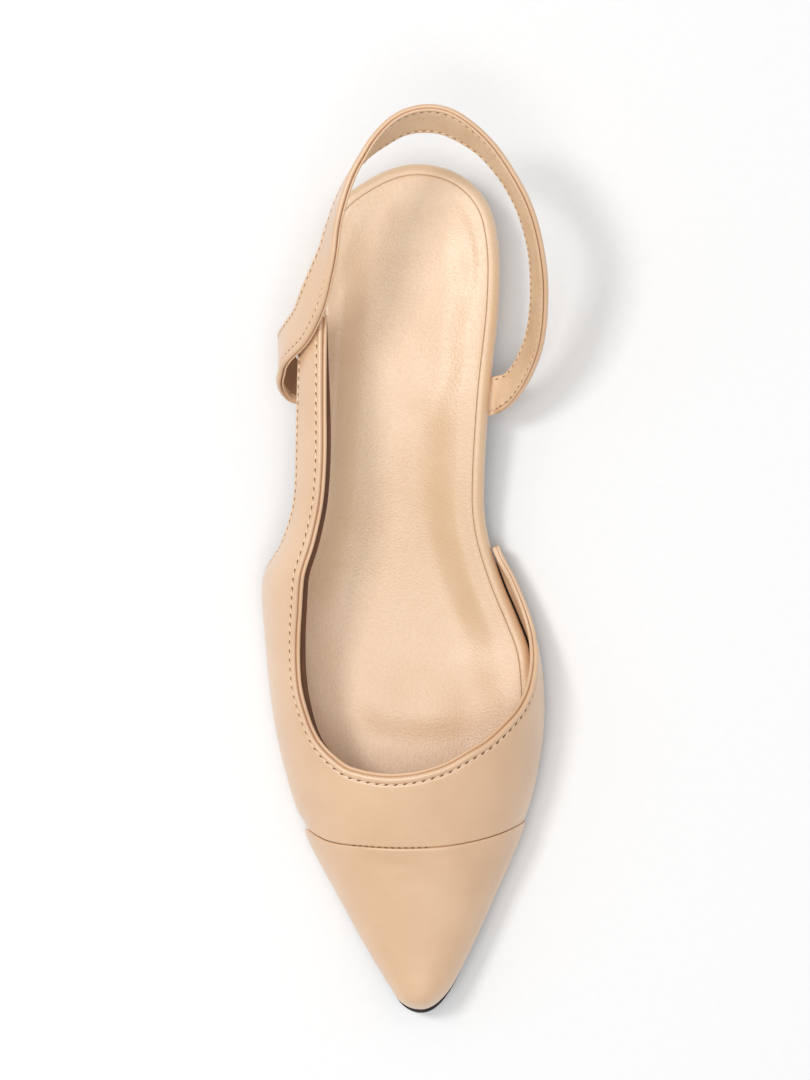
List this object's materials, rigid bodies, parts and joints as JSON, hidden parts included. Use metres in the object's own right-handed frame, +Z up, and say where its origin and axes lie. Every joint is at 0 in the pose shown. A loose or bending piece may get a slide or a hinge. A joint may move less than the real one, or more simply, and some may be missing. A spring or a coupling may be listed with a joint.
{
  "type": "sling back flat shoe",
  "caption": "Pointed flat leather shoe for a right foot: closed toe with stitched toe cap, low-cut inner side, one side strap and a heel strap over an open footbed.",
  "frame": {"origin": "on the floor under the middle of the heel, on the underside of the top lift", "axes": "+Z up from the floor, -Y towards the toe, +Y towards the heel, +X towards the inner side of the foot"},
  "size_m": [0.0901, 0.2774, 0.0686],
  "materials": {
    "upper_leather": "smooth nude calf, soft sheen",
    "sock_leather": "fine grained nude lining leather, soft sheen",
    "sole_rubber": "matte"
  },
  "bodies": {
    "root": {"outsole": "sole_rubber", "heel": "upper_leather", "top_lift": "sole_rubber", "footbed": "upper_leather", "sock_lining": "sock_leather", "upper": "upper_leather", "toe_cap": "upper_leather", "heel_strap": "upper_leather"}
  },
  "joints": []
}
